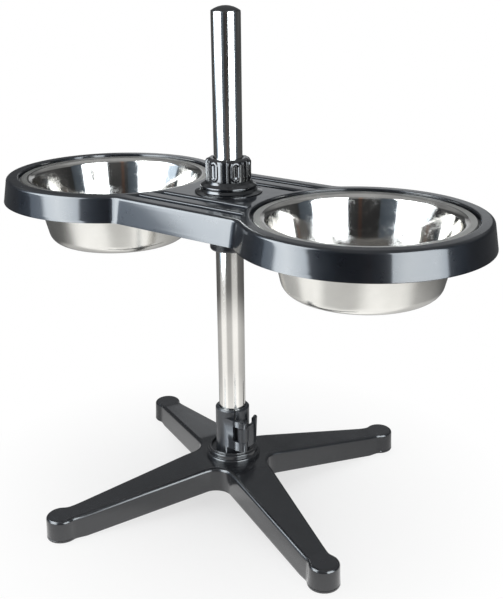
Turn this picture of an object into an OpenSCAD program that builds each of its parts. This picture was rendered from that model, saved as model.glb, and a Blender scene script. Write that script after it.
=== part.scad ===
// Adjustable dog feeder stand: a four-legged base, a steel post held by a flip clamp,
// and a tray with two lift-out bowls that slides and swivels on the post.
// Millimetres, +Z up. The origin is on the post's axis at floor level.
// The tray's length lies along X.

/* [Post] */
// Outer diameter of the steel tube
post_d = 32; // [28:1:36]
// Wall of the steel tube
post_wall = 1.2; // [0.8:0.1:2]
// Height of the tube's upper end above the floor
post_top = 575; // [540:5:680]
// Rise of the domed cap above the tube
cap_rise = 6; // [4:0.5:9]

/* [Base] */
// Turn of the legs away from the tray's length, clockwise from above
base_angle = 26; // [0:1:45]
// Distance from the post's axis to the middle of a foot
leg_reach = 220; // [190:5:260]
// Radius of a foot
foot_r = 18.2; // [16:0.1:20]
// Height of a foot
foot_h = 28.5; // [25:0.5:31]
// Width of a leg beside its foot
neck_w = 31; // [24:1:34]
// Width of a leg at the hub
root_w = 54; // [50:1:60]
// Height of a leg's top at the hub
root_top = 52; // [48:1:56]
// Height of a leg's lower edge at the hub
root_low = 22.5; // [18:0.5:28]
// Radius of the web between two legs
web_r = 20; // [12:1:22]
// Wall of the hollow moulding
base_wall = 3.5; // [2.5:0.5:5]
// Radius of the stepped collar on the hub
hub_ring_r = 33; // [31:0.5:36]

/* [Socket clamp] */
// Height of the socket's mouth above the floor
socket_top = 118; // [114:1:130]
// Wall of the socket round the post
socket_wall = 4.2; // [3.6:0.2:5]
// Lower edge of the clamp's lug
lug_low = 70; // [68:1:74]
// Upper edge of the clamp's lug
lug_high = 108.5; // [106:0.5:111]
// Length of the lug from the socket to the hinge pin
lug_length = 28.5; // [27:0.5:31]
// Radius of the steel hinge pin
pin_r = 2; // [1.5:0.1:2.4]
// Height of the lever's finger tab above its arm
tab_rise = 8; // [5:0.5:10]

/* [Tray] */
// Height of the tray's deck above the floor
deck_z = 383; // [360:1:410]
// Height of the tray's skirt
skirt_h = 29; // [25:1:34]
// Distance from the post's axis to the middle of each bowl
bowl_offset = 176; // [170:1:190]
// Width of each ring's deck outside the bowl
ring_w = 13.5; // [10:0.5:18]
// Widening of the skirt from the deck down to its lower edge
draft = 5.1; // [2:0.1:7]
// Half of the bridge's width at the deck
bridge_half = 94; // [84:1:100]
// Wall of the tray
tray_wall = 3; // [2.5:0.5:4]
// Chamfer round the deck's edge
deck_chamfer = 2; // [1:0.5:3]
// Depth of the seat for a bowl's rim
seat_depth = 6; // [5:0.5:8]
// Width of each groove in the deck
groove_w = 9; // [6:1:10]
// Depth of each groove in the deck
groove_depth = 3.4; // [1:0.2:4]

/* [Bowls] */
// Radius of a bowl's wall below the rim
bowl_r = 100; // [93:1:105]
// Width of a bowl's rim outside its wall
rim_w = 14.5; // [12:0.5:17]
// Radius of a bowl's flat bottom
bowl_foot_r = 71; // [62:1:78]
// Depth of a bowl below its seat
bowl_depth = 76; // [60:1:80]
// Radius of a bowl's lower corner
bowl_corner = 15; // [10:1:20]
// Thickness of the bowl's steel
bowl_wall = 1; // [0.8:0.1:1.5]

/* [Clamp nut] */
// Radius of the clamp nut over its lobes
nut_r = 25.5; // [25:0.5:28]
// Height of the clamp nut
nut_h = 24.5; // [24:0.5:30]
// Radius of the flared thrust ring
thrust_r = 31.5; // [30:0.5:34]
// Height of the thrust ring
thrust_h = 8.5; // [7:0.5:10]
// Height of the deck's raised seat under the thrust ring
pedestal_h = 5.5; // [4:0.5:7]
// Number of lobes round the nut
lobes = 6; // [5:1:7]
// Length of the hub's collar below the tray's skirt
collar_drop = 38; // [24:1:44]

/* [Hidden] */
$fn = 96;

// Clearances between pieces
slide_gap = 0.3;
turn_gap = 0.08;
seat_gap = 0.2;
cut = 1;

post_r = post_d / 2;
post_bore = post_r - post_wall;
cap_spigot = 20;
cap_round = 4;
cap_angle = 60;
plug_flange = 3;
plug_length = 24;
plug_edge = 1;
legs = 4;

// Base
leg_angle = -base_angle;
root_half = root_w / 2;
root_end = root_half + web_r;
neck_end = leg_reach - foot_r;
sole_gap = 1.2;
pad_r = 13;
pad_h = 3.2;
foot_round = 4;
ring_step = 5.3;
ring_edge = 1.2;
boss_r = 27;
boss_low = root_low - 1.5;
hub_bore = post_r + slide_gap + socket_wall + seat_gap;

// Socket and clamp, drawn with +X along the leg under the clamp
socket_bore = post_r + slide_gap;
socket_r = socket_bore + socket_wall;
socket_low = boss_low - 6;
socket_floor = socket_low + 4;
mouth_chamfer = 2;
lug_angle = -65;
lug_t = 4.5;
lug_solid = 17;
knuckle_r = 5;
knuckle_low = 81.5;
knuckle_high = 101;
lug_foot = polar(socket_r, lug_angle);
lug_along = polar(1, lug_angle + 90);
lug_inward = -polar(1, lug_angle);
pin_at = lug_foot + lug_length * lug_along + knuckle_r * lug_inward;
slit_angle = -17;
slit_w = 1.4;
slit_low = 67;
ear_reach = 24.6;
ear_w = 9;
lever_in = 25.5;
lever_out = 29.5;
lever_end_angle = 50;
lever_wide_angle = 12;
lever_root_angle = 4;
cam_angles = [60, 160];
lever_low = 71;
lever_high = 98.5;
lever_gap = 0.4;
tab_angle = 14;
tab_r = 2.5;
tab_out = lever_out + 1.5;
cam_r = 6;
cam_offset = 1.3;
screw_r = 1.6;
screw_head_r = 3.2;
screw_head_h = 2;
screw_l = 14;
screw_edge = 0.8;
screw_tip = 1;
pin_end = 0.6;
pin_head = 1.2;
socket_screws_n = 3;
screw_angle = 60;
socket_screw_at = (hub_bore + boss_r) / 2;

// Tray
skirt_z = deck_z - skirt_h;
seat_z = deck_z - seat_depth;
rim_r = bowl_r + rim_w;
rim_gap = 2.5;
seat_r = rim_r + rim_gap;
ring_r = seat_r + ring_w;
bowl_flare = 2.5;
hole_gap = 5.5;
hole_r = bowl_r + bowl_flare + hole_gap;
seat_t = 3;
seat_lip = 11;
lip_low = seat_z - seat_lip;
bridge_length = 2 * (bowl_offset - sqrt(pow(ring_r, 2) - pow(bridge_half, 2)));
groove_at = [47.5, 73.5];
groove_stop = 8;
groove_shell = 2;
groove_end_r = seat_r + groove_stop;
tray_boss_r = 40;
tray_boss_h = 12;
rib_at = 22;
rib_t = 2.5;
rib_from = 30;
rib_drop = 8;

// Hub, rings, collet and nut
pedestal_r = 38;
pedestal_step = 0.4;
pedestal_lip = 1;
thrust_edge = 0.6;
thrust_band = 2;
neck_r = 22;
neck_gap = 0.5;
hub_r = 22.4;
hub_low = skirt_z - collar_drop;
flange_t = 5;
flange_z = deck_z - tray_wall - tray_boss_h;
nut_z = deck_z + pedestal_h + thrust_h;
nut_top = nut_z + nut_h;
neck_rise = 7;
collet_dip = 11;
collet_rise = 5;
neck_top = nut_z + neck_rise;
collet_low = neck_top - collet_dip;
collet_top = neck_top + collet_rise;
collet_low_r = 17.6;
collet_high_r = 20;
collet_slits = 4;
collet_slit = 2;
collet_root = 3;
collet_edge = 1;
collet_gap = 0.6;
hub_bore_gap = 0.4;
hub_bore_r = post_r + hub_bore_gap;
hub_round = 3;
hub_screw_grip = 8;
hub_screw_at = 31.5;
hub_screws_n = 4;
lobe_angle = 24;
lobe_turn_angle = 28;
lobe_rise = 1.2;
nut_core_r = nut_r - lobe_rise;
nut_round = 5;
nut_rib_r = 1;
nut_rib_angle = 8;
mouth_gap = 0.8;
mouth_l = 4;
nut_mouth = post_r + mouth_gap;

// Bowls
rim_rise = 2.5;
rim_hem = 3;
bowl_flare_drop = 4;
wall_lean_angle = 13;

// Places at the end of each leg
module at_leg(k)
    rotate(leg_angle + k * 360 / legs)
        children();

// Left or right bowl's middle
module at_bowl(side)
    translate([side * bowl_offset, 0, 0])
        children();

// A prism standing on z low
module prism(low, high)
    translate([0, 0, low])
        linear_extrude(high - low)
            children();

// A point at radius r and angle a
function polar(r, a) = r * [cos(a), sin(a)];

// Part of a circle as outline points
function arc(centre, r, from, to, steps = 8) =
    [for (i = [0 : steps]) centre + polar(r, from + (to - from) * i / steps)];

// Plan of a leg, inset from its faces
module leg_plan(inset)
    polygon([
        [0, root_half - inset],
        [root_end, root_half - inset],
        [neck_end, neck_w / 2 - inset],
        [leg_reach, neck_w / 2 - inset],
        [leg_reach, inset - neck_w / 2],
        [neck_end, inset - neck_w / 2],
        [root_end, inset - root_half],
        [0, inset - root_half]
    ]);

// Side view of a leg: its top slopes down to the foot, its lower edge rises to the hub
module leg_side(drop, low)
    rotate([90, 0, 0])
        linear_extrude(2 * root_w, center = true)
            polygon([
                [0, low ? -cut : root_low],
                [root_end, low ? -cut : root_low],
                [leg_reach, low ? -cut : sole_gap],
                [leg_reach, foot_h - drop],
                [neck_end, foot_h - drop],
                [root_end, root_top - drop],
                [0, root_top - drop]
            ]);

module leg() {
    intersection() {
        prism(0, root_top) leg_plan(0);
        leg_side(0, false);
    }
    // The rounded foot
    translate([leg_reach, 0, 0])
        rotate_extrude()
            polygon(concat(
                [[0, sole_gap], [foot_r, sole_gap]],
                arc([foot_r - foot_round, foot_h - foot_round], foot_round, 0, 90),
                [[0, foot_h]]
            ));
    // The web to the next leg
    prism(root_low, root_top)
        difference() {
            square(root_end);
            translate([root_end, root_end])
                circle(web_r);
        }
}

// The hollow under a leg, in pockets between cross ribs
module leg_pockets() {
    pockets = 3;
    from = boss_r + base_wall;
    step = (neck_end - base_wall - from) / pockets;
    for (k = [0 : pockets - 1])
        intersection() {
            prism(-cut, root_top) leg_plan(base_wall);
            leg_side(base_wall, true);
            translate([from + k * step, -root_w, -cut])
                cube([step - base_wall, 2 * root_w, root_top]);
        }
}

// The stepped collar round the socket
module hub_collar() {
    rotate_extrude()
        polygon([
            [0, root_low],
            [hub_ring_r, root_low],
            [hub_ring_r, root_top + ring_step - ring_edge],
            [hub_ring_r - ring_edge, root_top + ring_step],
            [hub_ring_r - ring_edge, root_top + 2 * ring_step - ring_edge],
            [hub_ring_r - 2 * ring_edge, root_top + 2 * ring_step],
            [hub_ring_r - 3 * ring_edge, root_top + 2 * ring_step],
            [hub_ring_r - 4 * ring_edge, root_top + 2 * ring_step + 2 * ring_edge],
            [hub_ring_r - 5 * ring_edge, root_top + 2 * ring_step + ring_edge],
            [hub_ring_r - 6 * ring_edge, root_top + 2 * ring_step - ring_edge],
            [0, root_top + 2 * ring_step - ring_edge]
        ]);
}

module base_moulding()
    color([0.13, 0.13, 0.14])
        difference() {
            union() {
                for (k = [0 : legs - 1])
                    at_leg(k) leg();
                hub_collar();
                prism(boss_low, root_top) circle(boss_r);
            }
            for (k = [0 : legs - 1])
                at_leg(k) {
                    leg_pockets();
                    // Seat for the rubber pad
                    translate([leg_reach, 0, 0])
                        prism(-cut, pad_h + seat_gap) circle(pad_r + seat_gap);
                }
            prism(-cut, socket_top) circle(hub_bore);
            socket_screw_places() prism(boss_low - cut, boss_low + screw_l) circle(screw_r + seat_gap);
        }

module foot_pad(k)
    color([0.05, 0.05, 0.05])
        at_leg(k)
            translate([leg_reach, 0, 0])
                prism(0, pad_h) circle(pad_r);

module socket_screw_places()
    for (k = [0 : socket_screws_n - 1])
        rotate(leg_angle + screw_angle + k * 360 / socket_screws_n)
            translate([socket_screw_at, 0, 0])
                children();

// Outline along the lug: a from the socket towards the pin, b towards the post
function lug_point(a, b) = lug_foot + a * lug_along + b * lug_inward;

module lug_plan(length)
    polygon([lug_point(0, 0), lug_point(length, 0), lug_point(length, lug_t), lug_point(0, lug_t)]);

module knuckle(low, high)
    prism(low, high) {
        lug_plan(lug_length);
        translate(pin_at)
            circle(knuckle_r);
    }

module post_socket()
    color([0.15, 0.15, 0.16])
        at_leg(0)
            difference() {
                union() {
                    rotate_extrude()
                        polygon([
                            [0, socket_low],
                            [boss_r, socket_low],
                            [boss_r, boss_low],
                            [socket_r, boss_low],
                            [socket_r, socket_top - mouth_chamfer],
                            [socket_r - mouth_chamfer, socket_top],
                            [0, socket_top]
                        ]);
                    prism(lug_low, lug_high) lug_plan(lug_solid);
                    knuckle(lug_low, knuckle_low);
                    knuckle(knuckle_high, lug_high);
                    // The ear that the cam presses on
                    prism(knuckle_low + lever_gap, knuckle_high - lever_gap)
                        translate([socket_bore + cut, -ear_w / 2])
                            square([ear_reach - socket_bore - cut, ear_w]);
                }
                prism(socket_floor, socket_top + cut) circle(socket_bore);
                // The slit that lets the socket close on the post
                rotate(slit_angle)
                    translate([socket_bore - cut, -slit_w / 2, slit_low])
                        cube([socket_wall + 2 * cut, slit_w, socket_top]);
                translate(pin_at)
                    prism(0, socket_top) circle(pin_r + turn_gap);
                rotate(-leg_angle)
                    socket_screw_places() prism(0, boss_low + cut) circle(screw_r + seat_gap);
            }

module screw(tip)
    rotate_extrude()
        polygon([
            [0, 0],
            [screw_head_r - screw_edge, 0],
            [screw_head_r, screw_edge],
            [screw_head_r, screw_head_h],
            [screw_r, screw_head_h],
            [screw_r, tip - screw_tip],
            [0, tip]
        ]);

module socket_screws()
    color("silver")
        socket_screw_places()
            translate([0, 0, socket_low - screw_head_h])
                screw(screw_l);

module clamp_pin()
    color("silver")
        at_leg(0)
            translate(pin_at) {
                prism(lug_low - pin_end, lug_high + pin_end) circle(pin_r);
                prism(lug_high, lug_high + pin_head) circle(pin_r + pin_head);
            }

// A stretch of the lever's curved arm, between two angles round the socket
module lever_arc(from, to)
    difference() {
        intersection() {
            circle(lever_out);
            polygon([[0, 0], polar(2 * lever_out, from), polar(2 * lever_out, to)]);
        }
        circle(lever_in);
    }

// The cam on the pin and the root of the arm that leaves it
module lever_cam() {
    cam_at = pin_at - cam_offset * pin_at / norm(pin_at);
    translate(cam_at)
        circle(cam_r);
    polygon([
        pin_at,
        pin_at + polar(cam_r, cam_angles[0]),
        polar(lever_out, lever_wide_angle + lever_root_angle),
        polar(lever_in, lever_wide_angle),
        pin_at + polar(cam_r, cam_angles[1])
    ]);
}

// The finger tab on the arm's end: it leans outwards and has a round top
module lever_tab()
    intersection() {
        rotate_extrude()
            polygon(concat(
                [[lever_in, lever_low], [lever_out, lever_low]],
                arc([tab_out - tab_r, lever_high + tab_rise - tab_r], tab_r, 0, 180)
            ));
        prism(lever_low, lever_high + tab_rise)
            polygon([
                [0, 0],
                polar(2 * lever_out, lever_end_angle - tab_angle),
                polar(2 * lever_out, lever_end_angle)
            ]);
    }

module clamp_lever()
    color([0.15, 0.15, 0.16])
        at_leg(0)
            difference() {
                union() {
                    prism(knuckle_low + lever_gap, knuckle_high - lever_gap) lever_cam();
                    prism(lever_low, lever_high) lever_arc(lever_wide_angle, lever_end_angle);
                    lever_tab();
                }
                translate(pin_at)
                    prism(0, socket_top) circle(pin_r + turn_gap);
            }

module post_tube()
    color([0.8, 0.8, 0.8])
        prism(socket_floor + plug_flange, post_top)
            difference() {
                circle(post_r);
                circle(post_bore);
            }

module post_cap()
    color([0.08, 0.08, 0.08])
        translate([0, 0, post_top])
            rotate_extrude()
                polygon(concat(
                    [[0, -cap_spigot], [post_bore - seat_gap, -cap_spigot], [post_bore - seat_gap, 0]],
                    [[post_r, 0], [post_r, cap_rise - cap_round]],
                    arc([post_r - cap_round, cap_rise - cap_round], cap_round, 0, cap_angle),
                    [[0, cap_rise]]
                ));

module post_plug()
    color([0.08, 0.08, 0.08])
        rotate_extrude()
            polygon([
                [0, socket_floor],
                [post_r - plug_edge, socket_floor],
                [post_r, socket_floor + plug_edge],
                [post_r, socket_floor + plug_flange],
                [post_bore - seat_gap, socket_floor + plug_flange],
                [post_bore - seat_gap, socket_floor + plug_length],
                [0, socket_floor + plug_length]
            ]);

// Split wedge ring that grips the post
module collet()
    color([0.85, 0.85, 0.82])
        difference() {
            rotate_extrude()
                polygon([
                    [post_r + slide_gap, collet_low],
                    [collet_low_r, collet_low],
                    [collet_high_r, neck_top],
                    [collet_high_r, collet_top - collet_edge],
                    [collet_high_r - collet_edge, collet_top],
                    [post_r + slide_gap, collet_top]
                ]);
            for (k = [0 : collet_slits - 1])
                rotate((k + 0.5) * 360 / collet_slits)
                    translate([post_r - cut, -collet_slit / 2, collet_low + collet_root])
                        cube([collet_high_r, collet_slit, collet_top]);
        }

// The tray's outer form, inset from its faces, with its top lowered by drop
module tray_form(inset, drop, low) {
    chamfer = inset > 0 ? 0 : deck_chamfer;
    top = deck_z - drop;
    slope = draft / skirt_h;
    lower = draft - slope * (low - skirt_z);
    upper = slope * drop;
    profile_r = ring_r - inset;
    for (side = [-1, 1])
        at_bowl(side)
            rotate_extrude()
                polygon([
                    [0, low],
                    [profile_r + lower, low],
                    [profile_r + upper + slope * chamfer, top - chamfer],
                    [profile_r + upper - chamfer, top],
                    [0, top]
                ]);
    profile_y = bridge_half - inset;
    rotate([90, 0, 90])
        linear_extrude(bridge_length, center = true)
            polygon([
                [-profile_y - lower, low],
                [profile_y + lower, low],
                [profile_y + upper + slope * chamfer, top - chamfer],
                [profile_y + upper - chamfer, top],
                [chamfer - upper - profile_y, top],
                [-profile_y - upper - slope * chamfer, top - chamfer]
            ]);
}

// Ring seat that a bowl's rim lies on
module bowl_seat()
    rotate_extrude()
        polygon([
            [hole_r, lip_low],
            [hole_r + seat_t, lip_low],
            [hole_r + seat_t, seat_z - seat_t],
            [seat_r + seat_t, seat_z - seat_t],
            [seat_r + seat_t, deck_z - tray_wall / 2],
            [hole_r, deck_z - tray_wall / 2]
        ]);

// Grooves along the deck, ending short of the rings
module deck_grooves(shell, low, high)
    for (side = [-1, 1], y = groove_at)
        difference() {
            translate([-bridge_half, side * y - groove_w / 2 - shell, low])
                cube([2 * bridge_half, groove_w + 2 * shell, high - low]);
            for (end = [-1, 1])
                at_bowl(end)
                    prism(skirt_z, deck_z + 2 * cut) circle(groove_end_r - shell);
        }

module hub_screw_places()
    for (k = [0 : hub_screws_n - 1])
        rotate(180 / hub_screws_n + k * 360 / hub_screws_n)
            translate([hub_screw_at, 0, 0])
                children();

module tray()
    color([0.09, 0.09, 0.10])
        difference() {
            union() {
                difference() {
                    tray_form(0, 0, skirt_z);
                    tray_form(tray_wall, tray_wall, skirt_z - cut);
                }
                for (side = [-1, 1])
                    at_bowl(side) bowl_seat();
                // Channels under the deck that carry the grooves
                deck_grooves(groove_shell, deck_z - groove_depth - groove_shell, deck_z - tray_wall / 2);
                // Boss for the hub under the deck
                prism(flange_z, deck_z - cut) circle(tray_boss_r);
                // Stiffening ribs from the boss to the front and back panels
                for (x = [-rib_at, rib_at], side = [-1, 1])
                    prism(seat_z - rib_drop, deck_z - tray_wall / 2)
                        translate([x - rib_t / 2, side > 0 ? rib_from : rib_t / 2 - bridge_half])
                            square([rib_t, bridge_half - rib_t / 2 - rib_from]);
            }
            for (side = [-1, 1])
                at_bowl(side) {
                    prism(seat_z, deck_z + cut) circle(seat_r);
                    prism(skirt_z - cut, deck_z) circle(hole_r);
                }
            deck_grooves(0, deck_z - groove_depth, deck_z + cut);
            prism(skirt_z, nut_z) circle(neck_r + seat_gap);
            hub_screw_places()
                prism(flange_z - cut, flange_z + hub_screw_grip + cut) circle(screw_r + seat_gap);
        }

module tray_hub()
    color([0.10, 0.10, 0.11])
        difference() {
            rotate_extrude()
                polygon(concat(
                    [[hub_bore_r, hub_low]],
                    arc([hub_r - hub_round, hub_low + hub_round], hub_round, -90, 0),
                    [
                        [hub_r, flange_z - flange_t],
                        [tray_boss_r, flange_z - flange_t],
                        [tray_boss_r, flange_z],
                        [neck_r, flange_z],
                        [neck_r, neck_top],
                        [collet_high_r + collet_gap, neck_top],
                        [collet_low_r + collet_gap, collet_low],
                        [collet_low_r + collet_gap, collet_low - collet_gap],
                        [hub_bore_r, collet_low - collet_gap]
                    ]
                ));
            hub_screw_places() prism(flange_z - flange_t - cut, flange_z + cut) circle(screw_r + seat_gap);
        }

module hub_screws()
    color("silver")
        hub_screw_places()
            translate([0, 0, flange_z - flange_t - screw_head_h])
                screw(screw_head_h + flange_t + hub_screw_grip);

// Flared seat on the deck under the thrust ring
module seat_ring()
    color([0.07, 0.07, 0.08])
        translate([0, 0, deck_z])
            rotate_extrude()
                polygon([
                    [neck_r + seat_gap, 0],
                    [pedestal_r, 0],
                    [thrust_r + pedestal_lip, pedestal_h * pedestal_step],
                    [thrust_r - pedestal_lip, pedestal_h],
                    [neck_r + seat_gap, pedestal_h]
                ]);

module thrust_ring()
    color([0.10, 0.10, 0.11])
        translate([0, 0, deck_z + pedestal_h])
            rotate_extrude()
                polygon([
                    [neck_r + neck_gap, 0],
                    [thrust_r - thrust_edge, 0],
                    [thrust_r, thrust_edge],
                    [thrust_r, thrust_band],
                    [thrust_r - 2 * thrust_edge, thrust_band + 2 * thrust_edge],
                    [nut_r, thrust_h - 1],
                    [nut_r, thrust_h],
                    [neck_r + neck_gap, thrust_h]
                ]);

// Nut with broad lobes and slim ribs between them
module nut_grip() {
    circle(nut_core_r);
    for (k = [0 : lobes - 1])
        rotate(lobe_turn_angle + k * 360 / lobes) {
            intersection() {
                circle(nut_r);
                polygon([[0, 0], polar(2 * nut_r, -lobe_angle / 2), polar(2 * nut_r, lobe_angle / 2)]);
            }
            for (turn = [-nut_rib_angle, nut_rib_angle])
                rotate(180 / lobes + turn)
                    translate([nut_core_r, 0])
                        circle(nut_rib_r, $fn = 24);
        }
}

module clamp_nut()
    color([0.08, 0.08, 0.09])
        difference() {
            intersection() {
                prism(nut_z, nut_top) nut_grip();
                rotate_extrude()
                    polygon(concat(
                        [[0, nut_z], [nut_r, nut_z]],
                        arc([nut_r - nut_round, nut_top - nut_round], nut_round, 0, 90),
                        [[0, nut_top]]
                    ));
            }
            // Threaded bore, cone over the collet and mouth for the post
            rotate_extrude()
                polygon([
                    [0, nut_z - cut],
                    [neck_r + neck_gap, nut_z - cut],
                    [neck_r + neck_gap, neck_top + 1],
                    [collet_high_r + neck_gap, neck_top + 2],
                    [collet_high_r + neck_gap, collet_top - neck_gap],
                    [nut_mouth, collet_top + mouth_l],
                    [nut_mouth, nut_top + cut],
                    [0, nut_top + cut]
                ]);
        }

// Pressed steel bowl with a broad flat rim
module bowl(side) {
    low = seat_z - bowl_depth;
    neck = bowl_r + bowl_flare;
    flare_z = seat_z + rim_rise;
    corner = [bowl_foot_r, low + bowl_corner];
    color([0.75, 0.75, 0.74])
        at_bowl(side)
            rotate_extrude()
                polygon(concat(
                    [[0, low]],
                    arc(corner, bowl_corner, -90, -wall_lean_angle),
                    [
                        [bowl_r, seat_z - bowl_flare_drop],
                        [neck, flare_z],
                        [rim_r - rim_hem, flare_z],
                        [rim_r - rim_hem, seat_z],
                        [rim_r, seat_z],
                        [rim_r, flare_z],
                        [rim_r - bowl_wall, flare_z + bowl_wall],
                        [neck - bowl_wall / 2, flare_z + bowl_wall],
                        [bowl_r - bowl_wall, seat_z - bowl_flare_drop + bowl_wall / 2]
                    ],
                    arc(corner, bowl_corner - bowl_wall, -wall_lean_angle, -90),
                    [[0, low + bowl_wall]]
                ));
}

base_moulding();
foot_pad(0);  // foot_pad_1
foot_pad(1);  // foot_pad_2
foot_pad(2);  // foot_pad_3
foot_pad(3);  // foot_pad_4
post_socket();
socket_screws();
clamp_pin();
clamp_lever();
post_tube();
post_cap();
post_plug();
collet();
tray();
tray_hub();
hub_screws();
seat_ring();
thrust_ring();
clamp_nut();
bowl(-1);  // bowl_left
bowl(1);  // bowl_right
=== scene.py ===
import bpy
import bmesh
import math
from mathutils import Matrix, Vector


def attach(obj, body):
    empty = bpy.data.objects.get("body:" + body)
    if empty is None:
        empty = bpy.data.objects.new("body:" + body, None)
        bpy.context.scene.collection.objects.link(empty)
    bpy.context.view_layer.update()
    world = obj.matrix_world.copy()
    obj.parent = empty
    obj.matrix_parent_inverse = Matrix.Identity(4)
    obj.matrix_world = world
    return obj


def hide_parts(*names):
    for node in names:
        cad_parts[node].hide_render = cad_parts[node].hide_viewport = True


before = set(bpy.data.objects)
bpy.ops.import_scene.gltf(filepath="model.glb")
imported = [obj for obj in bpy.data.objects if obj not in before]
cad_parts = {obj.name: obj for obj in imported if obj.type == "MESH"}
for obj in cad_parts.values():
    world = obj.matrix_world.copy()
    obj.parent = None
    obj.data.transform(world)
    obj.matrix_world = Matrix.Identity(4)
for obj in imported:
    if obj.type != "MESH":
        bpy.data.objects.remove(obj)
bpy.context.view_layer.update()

# Base: one injection moulding in satin black plastic. Four tapering legs with round feet
# meet in filleted webs at the hub, which carries stepped collar rings round the socket.
# The underside is hollow, with cross ribs, and each foot has a round seat for its pad.
MM = 0.001
leg_count, first_leg = 4, math.radians(-26)
root_end, root_half, root_top, root_low, root_ease = 47.0, 27.0, 52.0, 22.5, 9.0
web_r = 20.0
foot_at, foot_r, foot_top, sole = 220.0, 18.2, 28.5, 1.2
neck_at, neck_half, neck_fillet, neck_lead, neck_ease = 201.8, 15.5, 12.0, 4.0, 7.0
pocket_end = 196.0
leg_edge, leg_draft, leg_land = 4.0, 0.9, 0.9
leg_wall, leg_roof, roof_draft, seam_deep = 3.2, 3.5, 0.4, 0.5
rib_places, rib_half, rib_inset, rib_gap = (84.0, 122.0, 160.0), 1.4, 1.5, 2.0
pad_seat_r, pad_seat_top = 13.2, 3.4
hub_bore, hub_boss_r, hub_boss_low, hub_boss_top = 21.0, 27.0, 21.0, 50.5
collar_low, collar_floor = 50.0, 61.4
web_steps, flank_steps, neck_steps, foot_steps, edge_steps = 8, 18, 8, 24, 6
collar_sides, hub_boss_sides, pad_seat_sides = 144, 96, 48


def strips(rows, closed=False):
    """Faces between neighbouring rows of points."""
    count = len(rows[0])
    points = [point for row in rows for point in row]
    faces = []
    for r in range(len(rows) - 1):
        near, far = r * count, (r + 1) * count
        for k in range(count if closed else count - 1):
            after = (k + 1) % count
            faces.append((near + k, near + after, far + after, far + k))
    return points, faces


def ring(radius, height, count, x=0.0):
    turn = 2 * math.pi / count
    return [(x + radius * math.cos(k * turn), radius * math.sin(k * turn), height)
            for k in range(count)]


def revolve(profile, count, x=0.0):
    return strips([ring(radius, height, count, x) for radius, height in profile], closed=True)


def rounded(corners, steps=6):
    """A line through corners (across, up, radius), each corner rounded to its radius."""
    line = []
    for i, (across, up, radius) in enumerate(corners):
        corner = Vector((across, up))
        if radius == 0:
            line.append(corner[:])
            continue
        before = (Vector(corners[i - 1][:2]) - corner).normalized()
        after = (Vector(corners[i + 1][:2]) - corner).normalized()
        half = before.angle(after) / 2
        centre = corner + (before + after).normalized() * radius / math.sin(half)
        start = corner + before * radius / math.tan(half) - centre
        end = corner + after * radius / math.tan(half) - centre
        sweep = math.pi - 2 * half
        for k in range(steps + 1):
            t = sweep * k / steps
            spoke = (start * math.sin(sweep - t) + end * math.sin(t)) / math.sin(sweep)
            line.append((centre + spoke)[:])
    return line


def block(x0, x1, y0, y1, z0, z1):
    foot = [(x0, y0, z0), (x1, y0, z0), (x1, y1, z0), (x0, y1, z0)]
    head = [(x, y, z1) for x, y, z in foot]
    points, faces = strips([foot, head], closed=True)
    return points, faces + [(3, 2, 1, 0), (4, 5, 6, 7)]


def flat_fill(loops, height):
    """A flat sheet bounded by closed loops of (x, y), the inner ones being holes."""
    sheet = bmesh.new()
    for loop in loops:
        corners = [sheet.verts.new((point[0], point[1], height)) for point in loop]
        for a, b in zip(corners, corners[1:] + corners[:1]):
            sheet.edges.new((a, b))
    bmesh.ops.triangle_fill(sheet, use_beauty=True, edges=sheet.edges[:], normal=(0, 0, 1))
    sheet.verts.index_update()
    points = [vert.co[:] for vert in sheet.verts]
    faces = [[vert.index for vert in face.verts] for face in sheet.faces]
    sheet.free()
    return points, faces


def soften(mesh):
    """Smooth shading that stays sharp at edges of more than 40 degrees."""
    mesh.shade_smooth()
    mesh.set_sharp_from_angle(angle=math.radians(40))


def bring_in(name, data):
    """A new object, linked to the scene."""
    thing = bpy.data.objects.new(name, data)
    bpy.context.scene.collection.objects.link(thing)
    return thing


def make_piece(name, shapes, finishes, slots=None):
    """One object in metres from closed shapes of (points, faces) in millimetres."""
    mesh = bpy.data.meshes.new(name)
    points, faces, chosen = [], [], []
    for i, (shape_points, shape_faces) in enumerate(shapes):
        start = len(points)
        points += [Vector(point) * MM for point in shape_points]
        faces += [[start + k for k in face] for face in shape_faces]
        chosen += [slots[i] if slots else 0] * len(shape_faces)
    mesh.from_pydata(points, [], faces)
    mesh.polygons.foreach_set("material_index", chosen)
    skin = bmesh.new()
    skin.from_mesh(mesh)
    bmesh.ops.remove_doubles(skin, verts=skin.verts, dist=0.002 * MM)
    bmesh.ops.dissolve_degenerate(skin, edges=skin.edges, dist=0.001 * MM)
    bmesh.ops.recalc_face_normals(skin, faces=skin.faces)
    skin.to_mesh(mesh)
    skin.free()
    soften(mesh)
    for finish in finishes:
        mesh.materials.append(finish)
    return bring_in(name, mesh)


def fit(piece, body, node):
    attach(piece, body)
    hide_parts(node)


def wire(socket, value):
    """Links a socket to another node's output, or sets it to a plain value."""
    if isinstance(value, bpy.types.NodeSocket):
        socket.id_data.links.new(value, socket)
    else:
        socket.default_value = value


def node_maker(tree, family="ShaderNode"):
    """Shorthand that adds a node to a tree, with its settings and inputs."""
    def put(kind, inputs, **settings):
        new = tree.nodes.new(family + kind)
        for key, value in settings.items():
            setattr(new, key, value)
        for key, value in inputs.items():
            wire(new.inputs[key], value)
        return new
    return put


def empty_finish(name):
    """A node material, its shader, and the shorthand that adds nodes to it."""
    material = bpy.data.materials.new(name)
    material.use_nodes = True
    tree = material.node_tree
    return material, tree.nodes["Principled BSDF"], node_maker(tree)


def noise(put, place, scale, detail, rough=0.5):
    grain = {"Vector": place, "Scale": scale, "Detail": detail, "Roughness": rough}
    return put("TexNoise", grain).outputs["Fac"]


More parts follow.
